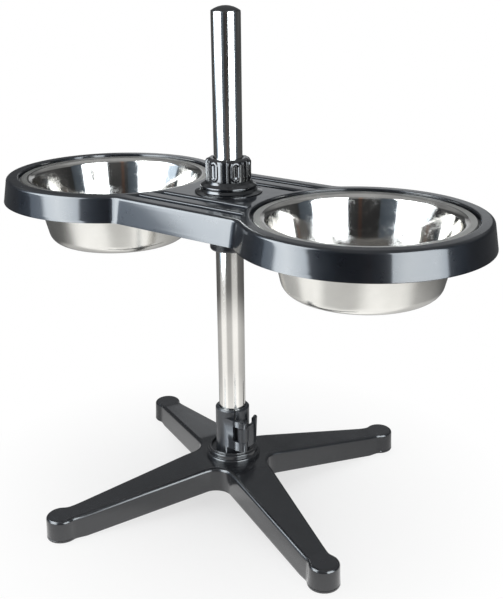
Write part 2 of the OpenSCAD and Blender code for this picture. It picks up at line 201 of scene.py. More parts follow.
def between(put, value, low, high, at_low, at_high, ease="LINEAR"):
    """Goes from at_low to at_high while the value goes from low to high."""
    reach = {"Value": value, "From Min": low, "From Max": high,
             "To Min": at_low, "To Max": at_high}
    return put("MapRange", reach, interpolation_type=ease).outputs["Result"]


def two_tone(put, value, dark, light, start=0.0, end=1.0):
    """A colour that goes from dark to light while the value goes from start to end."""
    tone = put("ValToRGB", {"Fac": value})
    stops = tone.color_ramp.elements
    stops[0].position, stops[1].position = start, end
    stops[0].color, stops[1].color = (*dark, 1), (*light, 1)
    return tone.outputs["Color"]


def relief(put, height, depth, under=None):
    """The normal of a fine relief, its depth in millimetres."""
    form = {"Strength": 1.0, "Distance": depth * MM, "Height": height}
    if under is not None:
        form["Normal"] = under
    return put("Bump", form).outputs["Normal"]


def dress(shader, colour, rough, normal=None, metal=0.0):
    """Gives a shader its colour, gloss and relief."""
    wire(shader.inputs["Base Color"], colour)
    wire(shader.inputs["Roughness"], rough)
    if normal is not None:
        wire(shader.inputs["Normal"], normal)
    shader.inputs["Metallic"].default_value = metal


def moulded_plastic(name, dark, light, rough, grain, depth, coat=0.0, shine=0.5):
    """Moulded plastic: slight tint clouds, wiped gloss and a fine moulded skin."""
    material, shader, put = empty_finish(name)
    place = put("TexCoord", {}).outputs["Object"]
    cloud = noise(put, place, 16.0, 5.0, 0.6)
    wiped = noise(put, place, 70.0, 6.0, 0.65)
    skin = relief(put, noise(put, place, 1000.0 / grain, 3.0, 0.6), depth)
    dress(shader, two_tone(put, cloud, dark, light, 0.3, 0.7),
          between(put, wiped, 0.3, 0.7, rough * 0.85, rough * 1.2), skin)
    wire(shader.inputs["Coat Normal"], skin)
    shader.inputs["Specular IOR Level"].default_value = shine
    shader.inputs["Coat Weight"].default_value = coat
    shader.inputs["Coat Roughness"].default_value = 0.08
    return material


base_plastic = moulded_plastic(
    "satin_base_plastic", (0.022, 0.0235, 0.027), (0.031, 0.0325, 0.036),
    rough=0.16, grain=0.7, depth=0.0015, shine=0.6)

# The half outline of a leg: web, straight flank, concave neck fillet and round foot,
# as (point, outward direction) from the web's middle to the tip.
flank_along = Vector((neck_at - root_end, neck_half - root_half)).normalized()
flank_out = Vector((-flank_along.y, flank_along.x))
foot_centre = Vector((foot_at, 0.0))
flank_off = (flank_out.dot(Vector((root_end, root_half))) + neck_fillet
             - flank_out.dot(foot_centre))
fillet_back = math.sqrt((foot_r + neck_fillet) ** 2 - flank_off ** 2)
fillet_centre = foot_centre + flank_out * flank_off - flank_along * fillet_back
fillet_start = fillet_centre - flank_out * neck_fillet
foot_start = (fillet_centre - foot_centre).normalized()


def flank_half(x):
    return root_half + (x - root_end) * flank_along.y / flank_along.x


half_leg = []
for k in range(web_steps + 1):
    a = math.radians(225 + 45 * k / web_steps)
    inward = Vector((math.cos(a), math.sin(a)))
    half_leg.append((Vector((root_end, root_end)) + web_r * inward, -inward))
web_last = len(half_leg) - 1
for k in range(1, flank_steps + 1):
    x = root_end + (pocket_end - root_end) * k / flank_steps
    half_leg.append((Vector((x, flank_half(x))), flank_out))
pocket_last = len(half_leg) - 1
half_leg.append((fillet_start - flank_along * neck_lead, flank_out))
for k in range(neck_steps + 1):
    a = k / neck_steps
    inward = (-flank_out * (1 - a) - foot_start * a).normalized()
    half_leg.append((fillet_centre + neck_fillet * inward, -inward))
foot_first = len(half_leg)
for k in range(1, foot_steps + 1):
    a = math.atan2(foot_start.y, foot_start.x) * (1 - k / foot_steps)
    outward = Vector((math.cos(a), math.sin(a)))
    half_leg.append((foot_centre + foot_r * outward, outward))
tip = len(half_leg) - 1


def eased(t, width):
    return 0.0 if t < -width else t if t > width else (t + width) ** 2 / (4 * width)


def leg_top(x):
    fall = (root_top - foot_top) / (neck_at - root_end)
    return root_top - fall * (eased(x - root_end, root_ease) - eased(x - neck_at, neck_ease))


def leg_low(x):
    share = (x - root_end) / (pocket_end - root_end)
    return root_low - (root_low - sole) * min(max(share, 0.0), 1.0)


def leg_point(station, side, inset, height):
    point, outward = half_leg[station]
    inner = point - outward * inset
    return (inner.x, side * max(inner.y, 0.0), height)


def leg_across(station, inset, height):
    """Seven points from one flank of the leg to the other."""
    left, right = (Vector(leg_point(station, side, inset, height)) for side in (1, -1))
    return [left.lerp(right, k / 6)[:] for k in range(7)]


# A fine mould seam runs round each foot, a little above its sole.
leg_flanks = {1: [], -1: []}
deck_inset = leg_draft + leg_edge + leg_land
for i, (point, outward) in enumerate(half_leg):
    top, low = leg_top(point.x), leg_low(point.x)
    seam = 0.1 + (seam_deep if i >= foot_first else 0.0)
    column = [(leg_wall, low), (0.8, low), (0.25, low + 0.25), (0.0, low + 0.8), (0.1, low + 2.5),
              (seam, low + 2.8), (seam, low + 3.1), (0.12, low + 3.4), (0.6, (top + low) / 2)]
    for k in range(edge_steps + 1):
        a = math.radians(90 * k / edge_steps)
        column.append((leg_draft + leg_edge * (1 - math.cos(a)),
                       top - leg_edge + leg_edge * math.sin(a)))
    column.append((deck_inset, top))
    for side in leg_flanks:
        leg_flanks[side].append([leg_point(i, side, inset, height) for inset, height in column])

roof_inset = leg_wall + roof_draft
tops = [leg_top(point.x) for point, outward in half_leg]
leg_deck = [leg_across(i, deck_inset, tops[i]) for i in range(web_last, tip + 1)]
leg_ceiling = [leg_across(i, roof_inset, tops[i] - leg_roof)
               for i in range(web_last, pocket_last + 1)]
pocket_sill = leg_across(pocket_last, leg_wall, sole)


def hub_sheet(inset, drop):
    """The hub's quarter between the webs, with its row of points round the bore."""
    rim = [leg_point(i, 1, inset, tops[i] - drop) for i in range(web_last)]
    rim += leg_across(web_last, inset, tops[web_last] - drop)
    rim += [leg_point(i, -1, inset, tops[i] - drop) for i in reversed(range(web_last))]
    bore = []
    for x, y, z in rim:
        a = math.atan2(y, x)
        bore.append((hub_bore * math.cos(a), hub_bore * math.sin(a), root_top - drop))
    return bore, rim


hub_top, hub_roof = hub_sheet(deck_inset, 0.0), hub_sheet(roof_inset, leg_roof)
foot_sole = [leg_point(i, 1, leg_wall, sole) for i in range(pocket_last, tip + 1)]
foot_sole += [leg_point(i, -1, leg_wall, sole) for i in reversed(range(pocket_last, tip))]
foot_sole += pocket_sill[-2:0:-1]
leg_shapes = [
    strips(leg_flanks[1]), strips(leg_flanks[-1]), strips(leg_deck), strips(leg_ceiling),
    strips([leg_ceiling[-1], pocket_sill]), strips(hub_top), strips(hub_roof),
    strips([hub_top[0], hub_roof[0]]),
    flat_fill([foot_sole, ring(pad_seat_r, sole, pad_seat_sides, foot_at)], sole),
    revolve([(pad_seat_r, sole), (pad_seat_r, pad_seat_top), (0, pad_seat_top)],
            pad_seat_sides, foot_at),
]
for side in (1, -1):
    leg_shapes.append(strips([
        (leg_point(i, side, leg_wall, leg_low(half_leg[i][0].x)),
         leg_point(i, side, roof_inset, tops[i] - leg_roof)) for i in range(pocket_last + 1)]))
for x in rib_places:
    half = flank_half(x) - rib_gap
    leg_shapes.append(block(x - rib_half, x + rib_half, -half, half,
                            leg_low(x) + rib_inset, leg_top(x) - rib_inset))

# Turned copies: the tree repeats a piece about the post's axis and joins the seams.
turned_copies = bpy.data.node_groups.new("turned_copies", "GeometryNodeTree")
turned_sockets = {}
for label, kind in (("Piece", "Geometry"), ("Copies", "Int"), ("First Turn", "Float"),
                    ("Finish", "Material")):
    turned_sockets[label] = turned_copies.interface.new_socket(
        label, in_out="INPUT", socket_type="NodeSocket" + kind).identifier
turned_copies.interface.new_socket("Piece", in_out="OUTPUT", socket_type="NodeSocketGeometry")

tree_node = node_maker(turned_copies, "")
given = tree_node("NodeGroupInput", {}).outputs
spots = tree_node("GeometryNodePoints", {"Count": given["Copies"]}).outputs[0]
number = tree_node("GeometryNodeInputIndex", {}).outputs[0]
share = tree_node("ShaderNodeMath", {0: 2 * math.pi, 1: given["Copies"]},
                  operation="DIVIDE").outputs[0]
turn = tree_node("ShaderNodeMath", {0: number, 1: share, 2: given["First Turn"]},
                 operation="MULTIPLY_ADD").outputs[0]
upright = tree_node("ShaderNodeCombineXYZ", {"Z": turn}).outputs[0]
facing = tree_node("FunctionNodeEulerToRotation", {0: upright}).outputs[0]
placed = tree_node("GeometryNodeInstanceOnPoints",
                   {"Points": spots, "Instance": given["Piece"], "Rotation": facing}).outputs[0]
real = tree_node("GeometryNodeRealizeInstances", {0: placed}).outputs[0]
sewn = tree_node("GeometryNodeMergeByDistance",
                 {"Geometry": real, "Distance": 0.003 * MM}).outputs[0]
coated = tree_node("GeometryNodeSetMaterial",
                   {"Geometry": sewn, "Material": given["Finish"]}).outputs[0]
tree_node("NodeGroupOutput", {0: coated})


def make_plain(piece):
    """Turns what a piece's modifiers give into its plain mesh."""
    bpy.context.view_layer.update()
    seen = piece.evaluated_get(bpy.context.evaluated_depsgraph_get())
    whole = bpy.data.meshes.new_from_object(seen)
    piece.modifiers.clear()
    piece.data = whole


def turn_copies(piece, copies, first_turn, finish):
    """Repeats the piece about the Z axis."""
    repeat = piece.modifiers.new("turned copies", "NODES")
    repeat.node_group = turned_copies
    repeat[turned_sockets["Copies"]] = copies
    repeat[turned_sockets["First Turn"]] = first_turn
    repeat[turned_sockets["Finish"]] = finish
    make_plain(piece)
    soften(piece.data)


def join_piece(piece, other):
    """Adds the mesh of another piece with the same finish to a piece."""
    skin = bmesh.new()
    for part in (piece, other):
        skin.from_mesh(part.data)
    skin.to_mesh(piece.data)
    skin.free()
    bpy.data.objects.remove(other)
    soften(piece.data)


base = make_piece("base", leg_shapes, [base_plastic])
turn_copies(base, leg_count, first_leg, base_plastic)
collar_profile = rounded([
    (hub_bore, collar_low, 0), (33.0, collar_low, 0), (33.1, 57.2, 2.2), (30.7, 57.5, 0.5),
    (30.5, 62.6, 1.7), (28.5, 62.9, 0.4), (28.2, 65.0, 0.9), (26.2, 64.8, 0.9),
    (25.6, collar_floor, 0.4), (hub_bore, collar_floor, 0), (hub_bore, collar_low, 0)])
hub_boss_profile = [(hub_bore, hub_boss_low), (hub_boss_r, hub_boss_low),
                    (hub_boss_r, hub_boss_top), (hub_bore, hub_boss_top), (hub_bore, hub_boss_low)]
collar_shapes = [revolve(collar_profile, collar_sides), revolve(hub_boss_profile, hub_boss_sides)]
hub_collar = make_piece("hub_collar", collar_shapes, [base_plastic])
join_piece(base, hub_collar)
fit(base, "base", "base_moulding")

# Foot pads: four discs of black rubber glued into the seats under the feet.
# They keep the shape of the solids and get a dull, finely speckled rubber.


def speckled_finish(name, scale, dark, light, smooth, dull, detail=4.0, metal=0.0, depth=0.0):
    """A finish with fine specks of tone that also change its gloss."""
    material, shader, put = empty_finish(name)
    speck = noise(put, put("TexCoord", {}).outputs["Object"], scale, detail)
    dress(shader, two_tone(put, speck, dark, light), between(put, speck, 0.0, 1.0, smooth, dull),
          relief(put, speck, depth) if depth else None, metal)
    return material


def refinish(node, material):
    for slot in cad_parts[node].material_slots:
        slot.material = material


rubber = speckled_finish("pad_rubber", 900.0, (0.012, 0.012, 0.012), (0.035, 0.035, 0.036),
                         smooth=0.7, dull=0.95, depth=0.03)
for k in range(leg_count):
    refinish(f"foot_pad_{k + 1}", rubber)

# Post socket: a split sleeve in satin black plastic, moulded with its flange, the lug for
# the hinge and an ear for the cam. The solid's form is kept and its edges are broken.
edge_break = 0.7
clamp_plastic = moulded_plastic(
    "satin_clamp_plastic", (0.018, 0.0205, 0.025), (0.025, 0.028, 0.034),
    rough=0.3, grain=0.7, depth=0.0015, shine=0.6)


def break_edges(name, node, finish):
    """A copy of a solid, merged, with every sharp edge rounded a little."""
    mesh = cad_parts[node].data.copy()
    mesh.name = name
    skin = bmesh.new()
    skin.from_mesh(mesh)
    bmesh.ops.remove_doubles(skin, verts=skin.verts, dist=0.005 * MM)
    bmesh.ops.dissolve_limit(skin, angle_limit=math.radians(0.5),
                             verts=skin.verts, edges=skin.edges)
    skin.to_mesh(mesh)
    skin.free()
    mesh.materials.clear()
    mesh.materials.append(finish)
    mesh.shade_smooth()
    piece = bring_in(name, mesh)
    bevel = piece.modifiers.new("broken edges", "BEVEL")
    bevel.width = edge_break * MM
    bevel.segments = 3
    bevel.limit_method = "ANGLE"
    bevel.angle_limit = math.radians(35)
    piece.modifiers.new("even shading", "WEIGHTED_NORMAL")
    make_plain(piece)
    return piece


socket = break_edges("post_sleeve", "post_socket", clamp_plastic)
fit(socket, "base", "post_socket")

# Socket screws: three zinc-plated hexagon-socket screws that go up through the sleeve's
# flange into the hub's boss. They are turned, rolled and plated.
screw_r, screw_head_r, screw_head, key_half, key_deep = 1.6, 3.2, 2.0, 1.25, 1.3
screw_sides = 36
socket_screws_r, socket_screws_low, socket_screw_long = 23.85, 13.0, 14.0
screw_zinc = speckled_finish("screw_zinc", 700.0, (0.40, 0.41, 0.42), (0.62, 0.62, 0.60),
                             smooth=0.22, dull=0.45, detail=5.0, metal=1.0)


def screw_shape(x, low, length):
    """A screw with a hexagon socket in its head, head down."""
    count = screw_sides
    loops = [ring(r, low + z, count, x) for r, z in rounded([
        (0, length, 0), (screw_r, length - 1, 0), (screw_r, screw_head, 0),
        (screw_head_r, screw_head, 0.25), (screw_head_r, 0, 0.7), (2.0, 0, 0)], 3)]
    for depth in (0.0, key_deep):
        hexagon = []
        for k in range(count):
            a = 2 * math.pi * k / count
            reach = key_half / math.cos((a + math.pi / 6) % (math.pi / 3) - math.pi / 6)
            hexagon.append((x + reach * math.cos(a), reach * math.sin(a), low + depth))
        loops.append(hexagon)
    loops.append(ring(0, low + key_deep, count, x))
    return strips(loops, closed=True)


socket_screw = screw_shape(socket_screws_r, socket_screws_low, socket_screw_long)
socket_screws = make_piece("sleeve_screws", [socket_screw], [screw_zinc])
turn_copies(socket_screws, 3, first_leg + math.radians(60), screw_zinc)
fit(socket_screws, "base", "socket_screws")

# Clamp pin and lever: a blackened steel pin is pressed through the sleeve's knuckles, and
# a satin black lever with a cam turns on it. The lever's finger tab has a round top.
black_oxide = speckled_finish("black_oxide_steel", 500.0, (0.035, 0.036, 0.04),
                              (0.085, 0.086, 0.09), smooth=0.3, dull=0.5, metal=1.0)
refinish("clamp_pin", black_oxide)
lever = break_edges("cam_lever", "clamp_lever", clamp_plastic)
fit(lever, "lever", "clamp_lever")

# Post: a polished stainless tube, 32 mm across, with fine lengthwise polishing lines.
# A domed black cap closes its top and a plug its lower end, which stands in the sleeve.
post_r, post_bore, post_low, post_middle, post_top = 16.0, 14.8, 22.05, 300.0, 575.0
post_sides, line_stretch = 144, (1400.0, 1400.0, 5.0)
post_steel, shader, put = empty_finish("polished_post_steel")
place = put("TexCoord", {}).outputs["Object"]
drawn = put("Mapping", {"Vector": place, "Scale": line_stretch}).outputs["Vector"]
lines = noise(put, drawn, 1.0, 4.0, 0.6)
cloud = noise(put, place, 40.0, 4.0)
dress(shader, two_tone(put, cloud, (0.62, 0.605, 0.575), (0.72, 0.705, 0.67)),
      between(put, lines, 0.3, 0.7, 0.105, 0.135), relief(put, lines, 0.001), 1.0)
post_profile = rounded([
    (post_bore, post_middle, 0), (post_bore, post_low, 0.3), (post_r, post_low, 0.3),
    (post_r, post_top, 0.3), (post_bore, post_top, 0.3), (post_bore, post_middle, 0)], 3)
post = make_piece("steel_post", [revolve(post_profile, post_sides)], [post_steel])
fit(post, "post", "post_tube")

cap_low, cap_top, cap_lip, cap_stem_r, cap_stem_low = 575.2, 581.0, 0.5, 14.5, 555.0
cap_sides, dome_steps = 96, 16
dome_rise = cap_top - cap_low - cap_lip
dome_r = (post_r ** 2 + dome_rise ** 2) / (2 * dome_rise)
cap_plastic = moulded_plastic("cap_plastic", (0.009, 0.009, 0.01), (0.014, 0.014, 0.015),
                              rough=0.3, grain=0.5, depth=0.006)
cap_profile = rounded([
    (0, cap_stem_low, 0), (cap_stem_r, cap_stem_low, 1.0), (cap_stem_r, cap_low, 0),
    (post_r, cap_low, 0.2), (post_r, cap_low + cap_lip, 0)], 6)
for k in range(1, dome_steps + 1):
    a = math.asin(post_r / dome_r) * (1 - k / dome_steps)
    cap_profile.append((dome_r * math.sin(a), cap_top - dome_r + dome_r * math.cos(a)))
cap = make_piece("post_top_cap", [revolve(cap_profile, cap_sides)], [cap_plastic])
fit(cap, "post", "post_cap")
refinish("post_plug", cap_plastic)

# Collet: a split wedge ring in natural nylon between the hub's neck and the post.
# The nut presses it down and it grips; only its slits' edges could be seen.
nylon = speckled_finish("natural_nylon", 120.0, (0.60, 0.59, 0.53), (0.74, 0.73, 0.68),
                        smooth=0.38, dull=0.55)
refinish("collet", nylon)

# Tray: a gloss black figure-eight moulding. A drafted skirt hangs from its deck, a recess
# with a lip takes each bowl's rim, and two pairs of long grooves run across the bridge.
# The grooves' floors, and their backs under the deck, are left dull.
deck, skirt_low, skirt_out, deck_edge, tray_wall = 383.0, 354.0, 5.1, 4.2, 3.0
deck_back = deck - tray_wall
skirt_inner_top, skirt_inner_low, skirt_lip, edge_land = -3.034, 2.05, 0.8, 0.8
bowl_at, ring_r, bridge_half, bridge_fillet = 176.0, 130.5, 94.0, 22.0
recess_r, recess_floor, recess_back_r, recess_back = 116.9, 377.0, 120.0, 374.0
hole_r, hole_lip_r, hole_lip_low = 108.0, 111.0, 366.0
tray_bore, tray_boss_r, tray_boss_low = 22.2, 40.0, 368.0
groove_places, groove_half, groove_end_r = (-73.5, -47.5, 47.5, 73.5), 4.5, 125.0
groove_round, groove_lip_r, groove_deep, gloss_rows = 3.3, 7.75, 3.4, 14
seat_sides, tray_boss_sides = 160, 96
bridge_steps, fillet_steps, ring_steps, skirt_steps = 16, 10, 48, 8
deck_edge_steps, lip_steps, groove_end_steps, groove_side_steps = 12, 18, 6, 24
tray_rib_x, tray_rib_half, tray_rib_low = 22.0, 1.25, 369.0
tray_rib_spans = ((34.0, 92.5, 4.4), (34.0, 42.0, 2.0), (53.0, 68.0, 2.0), (79.0, 92.5, 2.0))
tray_tones = (0.005, 0.0065, 0.010), (0.008, 0.010, 0.015)
tray_gloss = moulded_plastic("gloss_tray_plastic", *tray_tones, rough=0.3, grain=9.0, depth=0.008,
                             coat=1.0, shine=0.18)
groove_dull = moulded_plastic("dull_groove_plastic", *tray_tones, rough=0.55, grain=0.7,
                              depth=0.003, shine=0.12)

# A quarter of the tray's outline, as (point, outward direction): bridge, fillet and ring.
fillet_y = bridge_half + bridge_fillet
fillet_x = bowl_at - math.sqrt((ring_r + bridge_fillet) ** 2 - fillet_y ** 2)
meet = math.atan2(fillet_y, fillet_x - bowl_at)
quarter = []
for k in range(bridge_steps + 1):
    quarter.append((Vector((fillet_x * k / bridge_steps, bridge_half)), Vector((0, 1))))
for k in range(1, fillet_steps + 1):
    a = -math.pi / 2 + (meet - math.pi / 2) * k / fillet_steps
    outward = Vector((-math.cos(a), -math.sin(a)))
    quarter.append((Vector((fillet_x, fillet_y)) - outward * bridge_fillet, outward))
for k in range(1, ring_steps + 1):
    a = meet * (1 - k / ring_steps)
    outward = Vector((math.cos(a), math.sin(a)))
    quarter.append((Vector((bowl_at, 0)) + outward * ring_r, outward))
tray_line = list(quarter)
for flip_x, flip_y in ((1, -1), (-1, -1), (-1, 1)):
    flip = Vector((flip_x, flip_y))
    turned = [(point * flip, outward * flip) for point, outward in quarter]
    tray_line += turned[-2::-1] if flip_x * flip_y < 0 else turned[1:]
tray_line.pop()

skirt_slope = math.atan2(skirt_out, deck - skirt_low)
edge_out = -deck_edge * (1 - math.sin(skirt_slope)) / math.cos(skirt_slope)
skirt_profile = [
    (skirt_inner_top, deck_back), (skirt_inner_low, skirt_low + 0.3), (2.35, skirt_low),
    (4.6, skirt_low), (5.0, skirt_low + 0.25), (skirt_out - 0.09, skirt_low + skirt_lip)]
for k in range(1, skirt_steps):
    z = skirt_low + skirt_lip + (deck - deck_edge - skirt_lip - skirt_low) * k / skirt_steps
    skirt_profile.append((math.tan(skirt_slope) * (deck - z), z))
for k in range(deck_edge_steps + 1):
    a = skirt_slope + (math.pi / 2 - skirt_slope) * k / deck_edge_steps
    skirt_profile.append((edge_out + deck_edge * math.cos(a),
                          deck - deck_edge + deck_edge * math.sin(a)))
skirt_profile.append((edge_out - edge_land, deck))
skirt_loops = [[(p.x + o.x * out, p.y + o.y * out, height) for p, o in tray_line]
               for out, height in skirt_profile]

seat_profile = rounded([
    (118.8, deck, 0), (117.0, deck, 0.9), (recess_r, recess_floor, 0.9),
    (hole_r, recess_floor, 1.0), (hole_r, hole_lip_low, 0.6), (hole_lip_r, hole_lip_low, 0.6),
    (hole_lip_r, recess_back, 0), (recess_back_r, recess_back, 0),
    (recess_back_r, deck_back, 0)], 4)
tray_boss_profile = [(tray_bore, deck), (tray_bore, tray_boss_low),
                     (tray_boss_r, tray_boss_low), (tray_boss_r, deck_back)]

# A groove's section, and its back under the deck, as (half width, depth) from rim to floor.
groove_sizes = [(8.3, 0.0), (7.95, 0.0)]
for k in range(lip_steps + 1):
    a = math.radians(90 * k / lip_steps)
    groove_sizes.append((groove_lip_r - groove_round * math.sin(a),
                         groove_round - groove_round * math.cos(a)))
groove_sizes += [(4.42, 3.37), (4.34, groove_deep), (3.9, groove_deep), (3.4, groove_deep)]
back_sizes = [(6.5, tray_wall), (6.4, 5.0), (6.0, 5.4)]


def groove_rows(at, sizes):
    """Closed rows of points down a groove, its ends cut round the bowls."""
    rows = []
    for half, depth in sizes:
        row = []
        for side in (1, -1):
            for k in range(groove_end_steps + 1):
                y = at + side * half * (1 - 2 * k / groove_end_steps)
                reach = groove_end_r + (groove_half - half)
                x = side * (bowl_at - math.sqrt(reach ** 2 - y * y))
                row.append((x, y, deck - depth))
            row += [(x * (1 - 2 * k / groove_side_steps), y, deck - depth)
                    for k in range(1, groove_side_steps)]
        rows.append(row)
    return rows


gloss_shapes, dull_shapes = [strips(skirt_loops, closed=True)], []
deck_holes, back_holes = [], []
for x in (-bowl_at, bowl_at):
    gloss_shapes.append(revolve(seat_profile, seat_sides, x))
    deck_holes.append(ring(seat_profile[0][0], deck, seat_sides, x))
    back_holes.append(ring(seat_profile[-1][0], deck_back, seat_sides, x))
for at in groove_places:
    front, back = groove_rows(at, groove_sizes), groove_rows(at, back_sizes)
    gloss_shapes.append(strips(front[:gloss_rows + 1], closed=True))
    for rows, sizes in ((front[gloss_rows:], groove_sizes), (back, back_sizes)):
        dull_shapes.append(strips(rows, closed=True))
        dull_shapes.append(flat_fill([rows[-1]], deck - sizes[-1][1]))
    deck_holes.append(front[0])
    back_holes.append(back[0])
deck_holes.append(ring(tray_bore, deck, tray_boss_sides))
back_holes.append(ring(tray_boss_r, deck_back, tray_boss_sides))
gloss_shapes.append(revolve(tray_boss_profile, tray_boss_sides))
gloss_shapes.append(flat_fill([skirt_loops[-1], *deck_holes], deck))
gloss_shapes.append(flat_fill([skirt_loops[0], *back_holes], deck_back))
for x in (-tray_rib_x, tray_rib_x):
    for side in (-1, 1):
        for start, end, under in tray_rib_spans:
            low, high = sorted((side * start, side * end))
            gloss_shapes.append(block(x - tray_rib_half, x + tray_rib_half, low, high,
                                      tray_rib_low, deck - under))
tray = make_piece("tray", gloss_shapes + dull_shapes, [tray_gloss, groove_dull],
                  [0] * len(gloss_shapes) + [1] * len(dull_shapes))
fit(tray, "tray", "tray")

# Tray hub: a gloss black collar that slides on the post, with a flange screwed under the
# tray's boss and a neck that stands up through the deck for the clamp nut.
slide_bore, slide_r, slide_low, slide_middle = 16.4, 22.4, 316.0, 350.0
flange_r, flange_low, flange_top = 40.0, 363.0, 367.9
neck_r, neck_mouth, neck_top = 22.0, 20.6, 404.0
wedge_r, wedge_low, wedge_floor = 18.2, 393.0, 392.4
turned_sides = 128
hub_profile = rounded([
    (slide_bore, slide_middle, 0), (slide_bore, slide_low, 0.8), (slide_r, slide_low, 3.0),
    (slide_r, flange_low, 1.0), (flange_r, flange_low, 0.8), (flange_r, flange_top, 0.5),
    (neck_r, flange_top, 0), (neck_r, neck_top, 0.5), (neck_mouth, neck_top, 0),
    (wedge_r, wedge_low, 0), (wedge_r, wedge_floor, 0), (slide_bore, wedge_floor, 0),
    (slide_bore, slide_middle, 0)])
hub = make_piece("tray_collar", [revolve(hub_profile, turned_sides)], [tray_gloss])
fit(hub, "tray", "tray_hub")

# Hub screws: four screws like the sleeve's, up through the flange into the tray's boss.
# They too are zinc plated.
hub_screws_r, hub_screws_low, hub_screw_long = 31.5, 361.0, 15.0
hub_screw = screw_shape(hub_screws_r, hub_screws_low, hub_screw_long)
hub_screws = make_piece("collar_screws", [hub_screw], [screw_zinc])
turn_copies(hub_screws, 4, math.radians(45), screw_zinc)
fit(hub_screws, "tray", "hub_screws")

# Seat ring, thrust ring and clamp nut: gloss black turned rings and a moulded hand nut.
# The nut has six lobes, each with a capsule-shaped finger groove, and slim ribs between.
nut_gloss = moulded_plastic("gloss_nut_plastic", (0.005, 0.0055, 0.007), (0.008, 0.009, 0.011),
                            rough=0.13, grain=6.0, depth=0.006, coat=0.7)
seat_bore, seat_r, seat_low, seat_middle, seat_top = 22.3, 38.0, 383.05, 386.0, 388.4
seat_ring_profile = rounded([
    (seat_bore, seat_middle, 0), (seat_bore, seat_low, 0), (seat_r, seat_low, 0.3),
    (seat_r, 383.9, 0.4), (32.5, 385.4, 1.0), (30.6, seat_top, 0.8), (seat_bore, seat_top, 0),
    (seat_bore, seat_middle, 0)], 5)
seat_ring = make_piece("deck_seat_ring", [revolve(seat_ring_profile, turned_sides)], [nut_gloss])
fit(seat_ring, "tray", "seat_ring")
thrust_bore, thrust_r, thrust_low, thrust_middle, thrust_top = 22.6, 31.4, 388.6, 392.0, 396.9
thrust_profile = rounded([
    (thrust_bore, thrust_middle, 0), (thrust_bore, thrust_low, 0), (thrust_r, thrust_low, 0.9),
    (thrust_r, 391.4, 1.4), (27.4, 394.0, 3.0), (25.4, thrust_top, 0.3),
    (thrust_bore, thrust_top, 0), (thrust_bore, thrust_middle, 0)])
thrust_ring = make_piece("flared_ring", [revolve(thrust_profile, turned_sides)], [nut_gloss])
fit(thrust_ring, "ring", "thrust_ring")

nut_low, nut_top, nut_r, nut_core, nut_round, nut_bore = 397.05, 421.5, 25.5, 24.2, 5.0, 22.5
lobe_count, lobe_half, lobe_low, lobe_high, lobe_soft = 6, 5.2, 0.8, 1.5, 1.2
dish_half, dish_low, dish_high, dish_deep = 3.2, 3.2, 4.2, 1.4
nut_rib_at, nut_rib_half, nut_rib_share = nut_r * math.radians(22), 0.9, 0.8
grip_r, wedge_seat_r = 16.8, 20.5
nut_rows, nut_round_rows, nut_lobe_columns = 38, 12, 90


def step_up(t, width):
    t = min(max(t / width + 0.5, 0.0), 1.0)
    return t * t * (3 - 2 * t)


def dome(off, half):
    return math.sqrt(max(0.0, 1.0 - (off / half) ** 2))


def nut_reach(angle, z):
    """The nut's radius at an angle from a lobe's middle and a height."""
    along = nut_r * angle
    beyond = max(nut_low + lobe_low + lobe_half - z, z - nut_top + lobe_high + lobe_half, 0.0)
    lobe = step_up(lobe_half - math.hypot(along, beyond), lobe_soft)
    rib = dome(abs(along) - nut_rib_at, nut_rib_half)
    reach = nut_core + (nut_r - nut_core) * max(lobe, nut_rib_share * rib)
    beyond = max(nut_low + dish_low + dish_half - z, z - nut_top + dish_high + dish_half, 0.0)
    reach -= dish_deep * dome(math.hypot(along, beyond), dish_half)
    over = max(0.0, z - (nut_top - nut_round))
    return reach - nut_round + math.sqrt(nut_round ** 2 - over ** 2)


nut_columns = []
nut_heights = [nut_low + (nut_top - nut_round - nut_low) * k / nut_rows
               for k in range(nut_rows + 1)]
nut_heights += [nut_top - nut_round + nut_round * math.sin(math.radians(90 * k / nut_round_rows))
                for k in range(1, nut_round_rows + 1)]
nut_inside = rounded([
    (19.4, nut_top, 0), (grip_r, nut_top, 0.8), (grip_r, 413.0, 0), (wedge_seat_r, 408.5, 0),
    (wedge_seat_r, 406.0, 0), (nut_bore, 405.0, 0), (nut_bore, nut_low, 0)], 4)
for k in range(nut_lobe_columns + 1):
    angle = math.radians(360 / lobe_count * (k / nut_lobe_columns - 0.5))
    column = [(nut_bore, nut_low), *((nut_reach(angle, z), z) for z in nut_heights), *nut_inside]
    nut_columns.append([(r * math.cos(angle), r * math.sin(angle), z) for r, z in column])
nut = make_piece("clamp_nut_lobed", [strips(nut_columns)], [nut_gloss])
turn_copies(nut, lobe_count, math.radians(28), nut_gloss)
fit(nut, "nut", "clamp_nut")

# Bowls: two pressed stainless bowls with a broad flat rim and a rolled edge.
# They are mirror bright inside and satin outside, with fine spun lines round them.
bowl_low, bowl_floor, roll_low, rim_back, rim_top = 301.0, 302.0, 377.3, 379.5, 380.5
rim_r, rim_wide, rim_fall, rim_steps, bowl_sides = 112.8, 6.2, 0.25, 6, 160
press_wave = 0.012
bowl_outside = rounded([
    (0, bowl_low, 0), (82.85, bowl_low, 15.0), (101.55, rim_back, 6.0), (111.6, rim_back, 0.6),
    (112.0, roll_low, 0.5), (114.2, roll_low, 0.6), (114.5, rim_top, 1.4), (rim_r, rim_top, 0)], 8)
bowl_rim = [(rim_r - rim_wide * k / rim_steps, rim_top - rim_fall * k / rim_steps)
            for k in range(rim_steps + 1)]
bowl_inside = rounded([
    (rim_r - rim_wide, rim_top - rim_fall, 0), (100.65, 380.15, 7.0), (82.0, bowl_floor, 14.0),
    (0, bowl_floor, 0)], 12)


